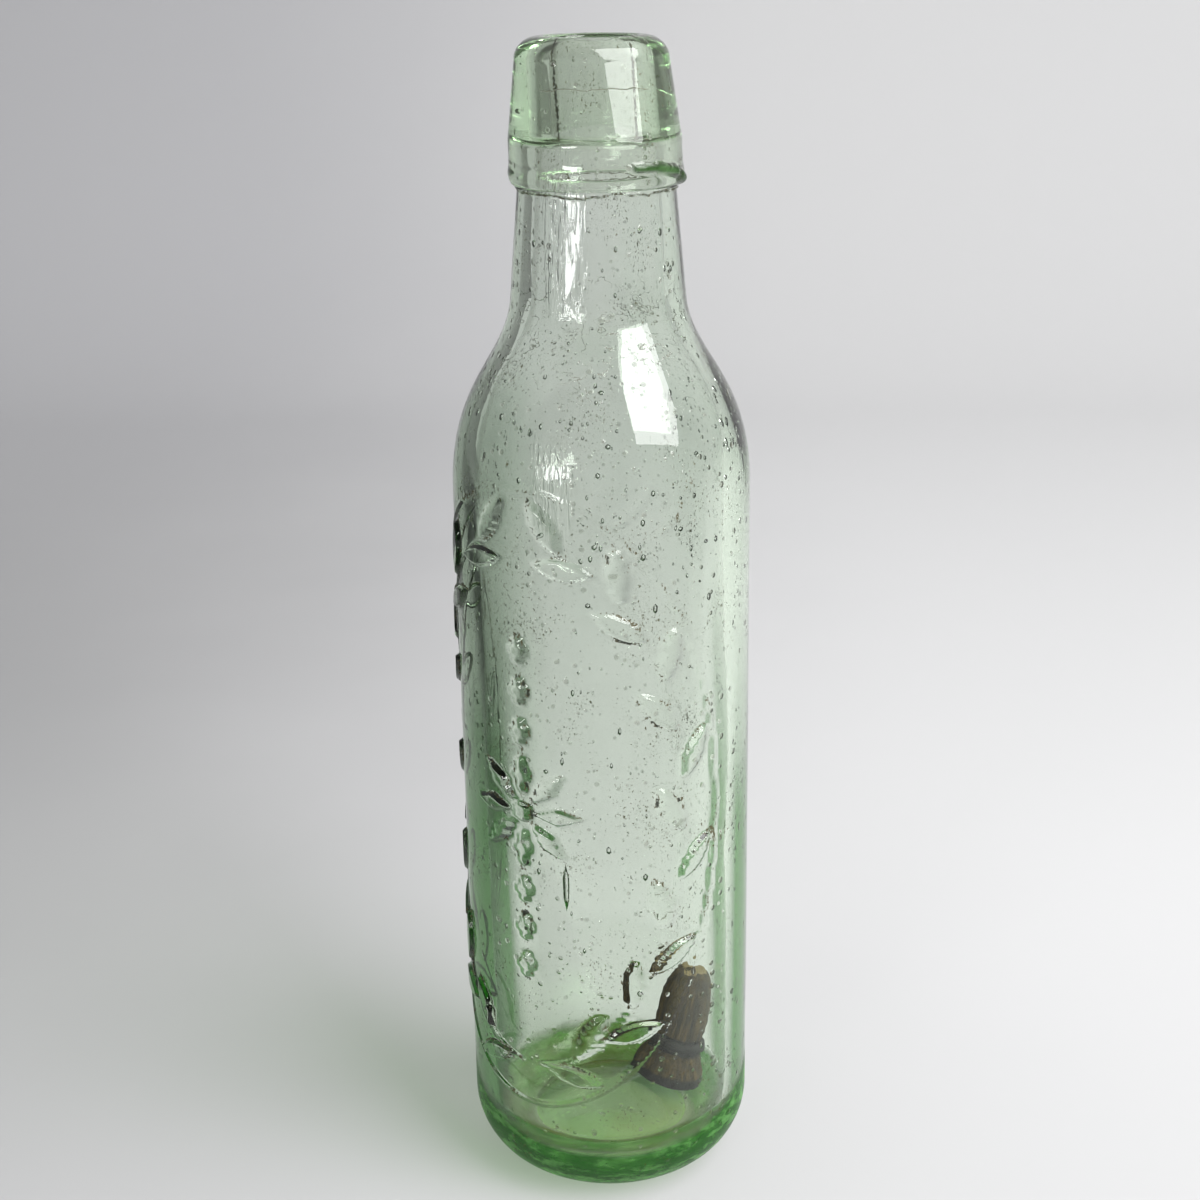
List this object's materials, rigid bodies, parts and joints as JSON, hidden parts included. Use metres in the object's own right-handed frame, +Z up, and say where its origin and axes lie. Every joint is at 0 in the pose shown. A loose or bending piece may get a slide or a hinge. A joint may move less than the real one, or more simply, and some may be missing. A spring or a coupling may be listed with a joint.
{
  "type": "internal stopper bottle",
  "caption": "Heavy blown-glass mineral water bottle with rounded shoulder, tapering neck and applied collared lip; a loose turned-wood stopper slides inside from floor to mouth.",
  "frame": {"origin": "on the bottle's axis, in the plane that the bottle stands on", "axes": "+Z up the bottle's axis to the mouth; the picture is taken from the -Y side, with +X to its right"},
  "size_m": [0.0609, 0.0609, 0.239],
  "materials": {
    "aqua_glass": "glossy hand-blown glass with seed bubbles, pale green where thin and deep green in the base",
    "stopper_wood": "dark, dry turned wood with pale scuffs",
    "perished_rubber": "hard, cracked black rubber"
  },
  "bodies": {
    "glass": {"bottle": "aqua_glass", "applied_lip": "aqua_glass"},
    "stopper": {"stopper_body": "stopper_wood", "stopper_ring": "perished_rubber"}
  },
  "joints": [
    {"name": "stopper_travel", "type": "slide", "parent": "glass", "child": "stopper", "axis": [-0.0858, -0.0279, 0.9959], "range_m": [0, 0.193]}
  ]
}
